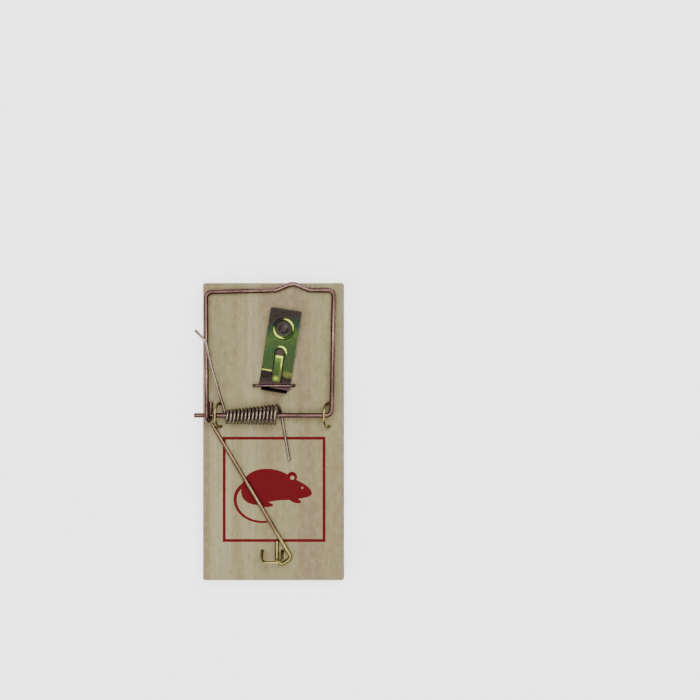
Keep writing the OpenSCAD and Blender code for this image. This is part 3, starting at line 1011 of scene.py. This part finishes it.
def cut_steel(name):
    """The sheared end of a wire: bare, grey and torn."""
    f = Finish(name)
    grain = f.noise(f.wire_run(), (5, 5, 5), 3, 0.6)
    colour = f.ramp(grain, [(0.3, (0.16, 0.14, 0.12)), (0.7, (0.42, 0.40, 0.37))])
    f.set(Base_Color=colour, Metallic=1.0, Roughness=0.55, Normal=f.bump(grain, 0.5, 0.08).outputs["Normal"])
    return f.material


SHEET_GAIN = 0.1    # about what the bent sheet is longer than its plan, up to the slot
# painted highlight colour for the ring, the slot's end and the tongue
PAINTED_HIGHLIGHT = (0.42, 0.50, 0.07)
# duller painted highlight for the tongue's root
PAINTED_DULL_HIGHLIGHT = (0.20, 0.24, 0.03)
# painted highlight along the crease's bend
PAINTED_BEND_HIGHLIGHT = (0.24, 0.27, 0.04)
# a lighter patch in the painted shade below the crease
LIGHTER_CREASE_PATCH = (0.10, 0.105, 0.02)
GREEN_SPECK = (0.07, 0.09, 0.03)
# the painted shade below the crease runs from this purple-brown at the foot
PURPLE_FOOT = (0.036, 0.019, 0.021)
# painted shade, near black, at the crease
PAINTED_CREASE_SHADE = (0.009, 0.007, 0.006)
# painted dark reflection inside the ring
RING_MIDDLE_DARK_REFLECTION = (0.030, 0.020, 0.022)
# painted glint along the sheet's right edge
PAINTED_EDGE_GLINT = (0.42, 0.34, 0.32)
BLACK_SCRATCH = (0.01, 0.01, 0.008)
GREEN_SHEET = [
    (0.05, (0.030, 0.048, 0.016)), (0.35, (0.026, 0.050, 0.018)), (0.55, (0.042, 0.070, 0.018)),
    (0.68, (0.018, 0.032, 0.019)), (0.80, (0.022, 0.017, 0.015)), (1.00, (0.019, 0.013, 0.013)),
]
# the tongue's green, brightening to a painted highlight at its tip
TONGUE_GREEN_AND_TIP_HIGHLIGHT = [
    (0.0, (0.030, 0.042, 0.014)), (0.3, (0.026, 0.042, 0.014)), (0.7, (0.034, 0.066, 0.016)),
    (0.88, (0.075, 0.12, 0.025)), (0.96, PAINTED_HIGHLIGHT),
]


def sheet_colour(f, run, u, v, specks):
    """Green in the middle of the sheet and purple-brown towards its free end, in slanting bands."""
    cloud = f.noise(run, (0.22, 0.16, 0.22), 3, 0.55)
    slanted = f.sum(v, f.product(u, -0.28), f.grey(cloud, 0.0, 1.0, -3.5 * MM, 3.5 * MM))
    colour = f.ramp(f.span(slanted, 4, 27), GREEN_SHEET)
    return f.mix(f.grey(specks, 0.5, 0.8, 0.0, 0.35), colour, GREEN_SPECK)


def crease_colour(f, run, u, v, colour):
    """Painted shade below the crease, purple-brown at the foot and near black at the crease, with a painted
    highlight along the bend in its left half and a lighter patch in the shade on its right.
    """
    ripple = f.noise(run, (0.5, 0.3, 0.5), 2, 0.5, (5, 2, 0))
    low = f.sum(v, f.grey(ripple, 0.3, 0.7, -0.5 * MM, 0.5 * MM), f.product(u, 0.06))
    # painted shade below the crease, darkest at the crease
    dark = f.mix(f.span(v, -1, 2.5), PURPLE_FOOT, PAINTED_CREASE_SHADE)
    colour = f.mix(f.span(low, 4.2, 5.0, 1.0, 0.0), colour, dark)
    patch = f.product(f.near(low, 4.1, 0.2, 0.9), f.span(u, 1.5, 2.5), 0.5)
    colour = f.mix(patch, colour, LIGHTER_CREASE_PATCH)
    # painted highlight along the bend, in the left half
    line = f.product(f.near(v, 4.75, 0.12, 0.32), f.span(u, -1.4, -2.2))
    return f.mix(line, colour, PAINTED_BEND_HIGHLIGHT)


def pressed_colour(f, run, colour):
    """A painted dark reflection inside the ring; painted highlights on the ring and round the slot's end,
    where they face up to the right.
    """
    way, r = f.offset(run, Vector((0, ring_y + SHEET_GAIN, 0)))
    # painted dark reflection inside the ring
    colour = f.mix(f.span(r, RING_D / 2 - 1.05, RING_D / 2 - 0.25, 0.85, 0.0), colour, RING_MIDDLE_DARK_REFLECTION)
    # painted highlight arcs on the ring where its slopes face up to the right
    facing = f.span(f.absolute(f.dot(way, (0.65, 0.76, 0))), 1.8, 2.9)
    colour = f.mix(f.product(f.near(r, RING_D / 2, 0.1, 0.4), facing), colour, PAINTED_HIGHLIGHT)
    # painted highlight arc round the slot's end, on its side facing up to the right
    way, r = f.offset(run, Vector((0, slot_centre + SHEET_GAIN, 0)))
    facing = f.span(f.dot(way, (0.55, 0.83, 0)), 0.9, 1.7)
    return f.mix(f.product(f.near(r, slot_w / 2 + 0.35, 0.1, 0.35), facing), colour, PAINTED_HIGHLIGHT)


def tongue_colour(f, run, u, v, colour):
    """The tongue's green, with painted highlights at its tip, along its right edge and at its root."""
    tip = tongue_end + SHEET_GAIN
    tongue_and_highlights = f.ramp(f.span(v, SLOT_START, tip), TONGUE_GREEN_AND_TIP_HIGHLIGHT)
    # painted highlight along the tongue's right edge
    right_edge = f.product(f.near(u, 1.1, 0.1, 0.4), f.span(v, 5.5, 7.0, 0.12, 0.9))
    tongue_and_highlights = f.mix(right_edge, tongue_and_highlights, PAINTED_HIGHLIGHT)
    # painted highlight round the tongue's root
    _, from_root = f.offset(run, Vector((-0.1, SLOT_START + 1.1, 0)))
    tongue_and_highlights = f.mix(f.span(from_root, 0.35, 1.15, 0.8, 0.0), tongue_and_highlights, PAINTED_DULL_HIGHLIGHT)
    on_tongue = f.product(f.span(f.absolute(u), TONGUE_W / 2 - 0.1, TONGUE_W / 2 + 0.1, 1.0, 0.0),
                          f.span(v, SLOT_START - 0.3, SLOT_START + 0.2),
                          f.span(v, tip, tip + 0.1, 1.0, 0.0))
    return f.mix(on_tongue, colour, tongue_and_highlights)


def chromate(name):
    """Yellow zinc on the pedal, with painted highlights and shade on its pressed features and crease, a
    painted glint along its right edge, and dull scratches.
    """
    f = Finish(name)
    run = f.wire_run()
    place = f.split(run)
    u, v = place["X"], place["Y"]
    specks = f.noise(run, (2.2, 2.2, 2.2), 4, 0.7)
    scratches = f.noise(run, (3.0, 0.6, 3.0), 4, 0.65)
    colour = sheet_colour(f, run, u, v, specks)
    colour = crease_colour(f, run, u, v, colour)
    colour = pressed_colour(f, run, colour)
    colour = tongue_colour(f, run, u, v, colour)
    # painted glint along the sheet's right edge, broken up by the specks
    edge_wear_and_glint = f.span(u, PEDAL_W / 2 - 0.16, PEDAL_W / 2 - 0.02)
    colour = f.mix(f.product(edge_wear_and_glint, f.grey(specks, 0.35, 0.6)), colour, PAINTED_EDGE_GLINT)
    colour = f.mix(f.grey(scratches, 0.3, 0.7, 0.3, 0.0), colour, BLACK_SCRATCH)
    f.set(Base_Color=colour, Metallic=1.0, Roughness=f.grey(scratches, 0.3, 0.75, 0.2, 0.36),
          Normal=f.bump(scratches, 0.18, 0.02).outputs["Normal"])
    return f.material


# ---------------------------------------------------------------- the pieces
bow_finish = plated("copper_plated_wire", (0.12, 0.066, 0.054), (0.052, 0.027, 0.022), (0.19, 0.115, 0.10))
spring_finish = plated("bare_spring_wire", (0.19, 0.145, 0.11), (0.085, 0.06, 0.045), (0.27, 0.225, 0.175))
staple_finish = plated("yellow_zinc_wire", (0.21, 0.17, 0.058), (0.10, 0.08, 0.03), (0.30, 0.245, 0.09))
purple_finish = plated("purple_zinc_wire", (0.075, 0.043, 0.045), (0.035, 0.02, 0.022), (0.14, 0.085, 0.07))
rod_finish = plated("brassy_plated_wire", (0.13, 0.08, 0.045), (0.066, 0.04, 0.024), (0.185, 0.125, 0.066),
                    end=((0.22, 0.185, 0.065), 41, 45))
cut_finish = cut_steel("sheared_wire_end")


def place_wire(name, path, d, finish, body, node, sides=22):
    """Make one wire piece that replaces a node; without a body, it is left unattached."""
    piece = wire(name, path, d, sides)
    piece.data.materials.append(finish)
    piece.data.materials.append(cut_finish)
    if body:
        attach(piece, body)
    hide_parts(node)
    return piece


place_wire("bow_wire", bow_path(), BOW_D, bow_finish, "hammer", "hammer_bow", 28)
place_wire("rod_wire", rod_path(), ROD_D, rod_finish, "rod", "locking_rod", 26)
for staple in STAPLES:
    finish = purple_finish if staple == "pedal_staple" else staple_finish
    place_wire(staple + "_wire", staple_path(staple), STAPLE_D, finish, "base", staple)

spring = place_wire("spring_wire", spring_path(), SPRING_D, spring_finish, None,
                    "torsion_spring", 16)
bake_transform(spring)

board = build_board()
board.data.materials.append(wood("bare_poplar"))
board.data.materials.append(wood("red_printed_poplar", RED_INK))
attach(board, "base")
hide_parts("base_board")

pedal = build_pedal()
pedal.data.materials.append(chromate("yellow_zinc_sheet"))
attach(pedal, "pedal")
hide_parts("bait_pedal")


# ---------------------------------------------------------------- stage, lights and camera
def floor_finish():
    """A pale floor that glows a little, as a light table does."""
    f = Finish("pale_floor")
    cloud = f.noise(f.own_place(), (0.02, 0.02, 0.02), 2, 0.5)
    colour = f.ramp(cloud, [(0.3, (0.86, 0.86, 0.86)), (0.7, (0.88, 0.88, 0.88))])
    f.set(Base_Color=colour, Roughness=0.8, Emission_Color=(1.0, 1.0, 1.0), Emission_Strength=1.5)
    return f.material


FLOOR_HALF = 4000
FLOOR_Z = -0.02
floor_corners = [(x * FLOOR_HALF, y * FLOOR_HALF, FLOOR_Z) for x, y in ((-1, -1), (1, -1), (1, 1), (-1, 1))]
floor = new_object("floor", floor_corners, [(0, 1, 2, 3)])
floor.data.materials.append(floor_finish())


def softbox(name, at, side, power):
    """A square lamp at a place in metres, aimed at the origin."""
    light = bpy.data.lights.new(name, "AREA")
    light.shape = "SQUARE"
    light.size = side
    light.energy = power
    obj = bpy.data.objects.new(name, light)
    bpy.context.scene.collection.objects.link(obj)
    obj.location = at
    obj.rotation_mode = "QUATERNION"
    obj.rotation_quaternion = (-Vector(at)).to_track_quat("-Z", "Y")


softbox("key_softbox", (0.38, 0.45, 0.75), 0.6, 5)
softbox("side_softbox", (-0.55, -0.45, 0.55), 0.4, 2)
softbox("top_lamp", (0.02, 0.11, 1.2), 0.12, 1.2)
softbox("south_lamp", (0.05, -0.62, 0.9), 0.12, 0.9)


SKY_LEVELS = [(0.0, 0.08), (0.74, 0.08), (0.86, 1.0), (0.965, 1.0), (0.99, 0.35)]
SKY_STRENGTH = 4.0


def studio_world():
    """A bright ceiling with a dim middle, where a camera blocks the light, over dim walls."""
    made = bpy.data.worlds.new("studio")
    made.use_nodes = True
    nodes, links = made.node_tree.nodes, made.node_tree.links
    split = nodes.new("ShaderNodeSeparateXYZ")
    links.new(nodes.new("ShaderNodeTexCoord").outputs["Generated"], split.inputs[0])
    ramp = nodes.new("ShaderNodeValToRGB")
    links.new(split.outputs["Z"], ramp.inputs["Fac"])
    elements = ramp.color_ramp.elements
    while len(elements) < len(SKY_LEVELS):
        elements.new(0.5)
    for element, (height, level) in zip(elements, SKY_LEVELS):
        element.position = height
        element.color = (level, level, level, 1)
    links.new(ramp.outputs["Color"], nodes["Background"].inputs["Color"])
    nodes["Background"].inputs["Strength"].default_value = SKY_STRENGTH
    return made


bpy.context.scene.world = studio_world()

# The view is straight down; the frame's middle lies beside the board, so that the trap
# stands at the lower left of the picture
VIEW_MIDDLE = Vector((25.2, 26.9, TOP))
VIEW_WIDTH = 230.6
LENS = 85
SENSOR = 36
camera_data = bpy.data.cameras.new("camera")
camera_data.lens = LENS
camera_data.sensor_width = SENSOR
camera = bpy.data.objects.new("camera", camera_data)
bpy.context.scene.collection.objects.link(camera)
camera.location = (VIEW_MIDDLE + Vector((0, 0, VIEW_WIDTH * LENS / SENSOR))) * MM
bpy.context.scene.camera = camera
